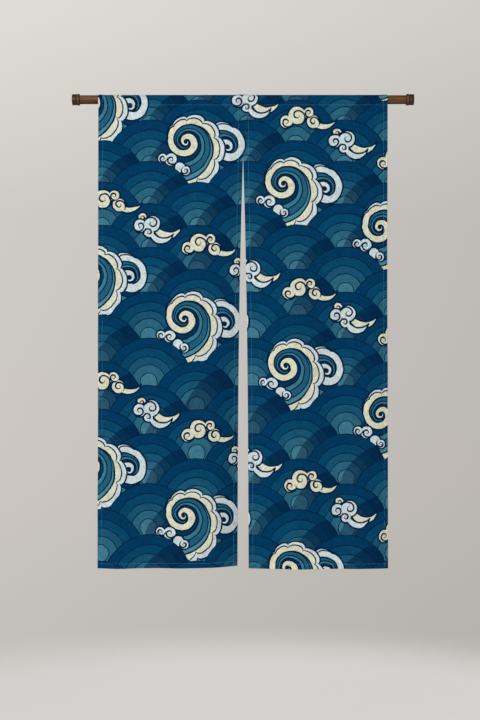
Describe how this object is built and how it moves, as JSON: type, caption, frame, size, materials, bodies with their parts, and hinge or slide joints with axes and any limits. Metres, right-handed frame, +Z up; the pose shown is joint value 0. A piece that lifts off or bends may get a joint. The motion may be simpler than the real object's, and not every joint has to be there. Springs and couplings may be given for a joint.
{
  "type": "noren curtain on rod",
  "caption": "Split door curtain of printed cloth in side-by-side panels, hung by its sleeve from a round wooden rod with turned end caps.",
  "frame": {"origin": "middle of the rod's axis", "axes": "+X along the rod to the viewer's right, +Y away from the viewer, +Z up"},
  "size_m": [1.012, 0.0682, 1.4051],
  "materials": {
    "rod_wood": "stained, satin",
    "cap_wood": "dark stained, satin",
    "printed_cloth": "printed plain weave, matt"
  },
  "bodies": {
    "root": {"rod": "rod_wood", "cap_left": "cap_wood", "cap_right": "cap_wood", "panel_left": "printed_cloth", "panel_right": "printed_cloth"}
  },
  "joints": []
}
